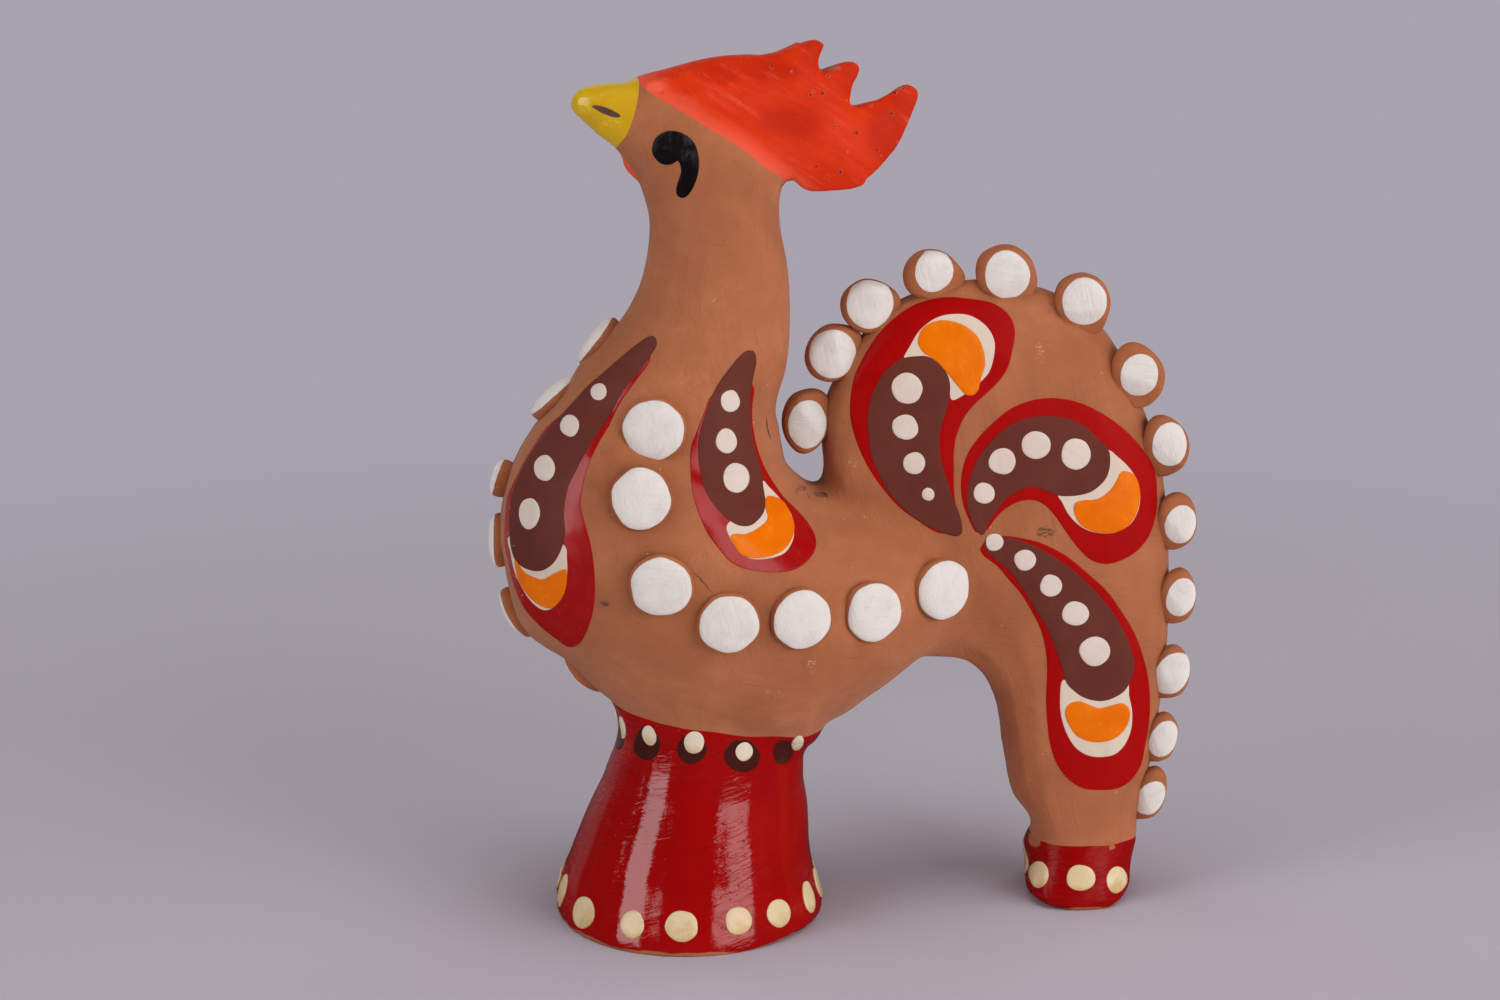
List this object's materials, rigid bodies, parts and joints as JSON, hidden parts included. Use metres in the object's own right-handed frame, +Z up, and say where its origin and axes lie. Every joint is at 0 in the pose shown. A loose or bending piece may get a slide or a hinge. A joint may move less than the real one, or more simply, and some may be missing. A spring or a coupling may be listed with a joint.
{
  "type": "clay rooster figurine",
  "caption": "Hand-built painted clay rooster standing on a hollow flared skirt and a tail foot, with a slab tail, a swept comb and rows of pressed pellets.",
  "frame": {"origin": "on the floor, under the middle of the figure's bounding box", "axes": "+Z up, the longest extent; -X towards the beak; +Y across the figure, towards its right side, the shortest extent"},
  "size_m": [0.1302, 0.0552, 0.1583],
  "materials": {
    "clay": "matte fired clay",
    "comb_red": "satin brushed paint",
    "beak_yellow": "satin brushed paint",
    "pedestal_red": "gloss brushed paint",
    "pellet_white": "matte chalky paint",
    "plume_red": "satin brushed paint",
    "plume_brown": "matte brushed paint",
    "plume_orange": "satin brushed paint",
    "plume_white": "matte brushed paint",
    "dot_cream": "gloss brushed paint",
    "eye_black": "satin brushed paint",
    "nostril_brown": "matte brushed paint"
  },
  "bodies": {
    "root": {"body": "clay", "neck_and_head": "clay", "beak": "beak_yellow", "comb": "comb_red", "wattle": "comb_red", "tail": "clay", "tail_foot": "pedestal_red", "pedestal": "pedestal_red", "chest_pellet_1": "pellet_white", "chest_pellet_2": "pellet_white", "chest_pellet_3": "pellet_white", "chest_pellet_4": "pellet_white", "chest_pellet_5": "pellet_white", "chest_pellet_6": "pellet_white", "rim_pellet_1": "pellet_white", "rim_pellet_10": "pellet_white", "rim_pellet_11": "pellet_white", "rim_pellet_12": "pellet_white", "rim_pellet_13": "pellet_white", "rim_pellet_2": "pellet_white", "rim_pellet_3": "pellet_white", "rim_pellet_4": "pellet_white", "rim_pellet_5": "pellet_white", "rim_pellet_6": "pellet_white", "rim_pellet_7": "pellet_white", "rim_pellet_8": "pellet_white", "rim_pellet_9": "pellet_white", "wing_pellet_left_1": "pellet_white", "wing_pellet_left_2": "pellet_white", "wing_pellet_left_3": "pellet_white", "wing_pellet_left_4": "pellet_white", "wing_pellet_left_5": "pellet_white", "wing_pellet_left_6": "pellet_white", "wing_pellet_left_7": "pellet_white", "wing_pellet_right_1": "pellet_white", "wing_pellet_right_2": "pellet_white", "wing_pellet_right_3": "pellet_white", "wing_pellet_right_4": "pellet_white", "wing_pellet_right_5": "pellet_white", "wing_pellet_right_6": "pellet_white", "wing_pellet_right_7": "pellet_white"}
  },
  "joints": []
}
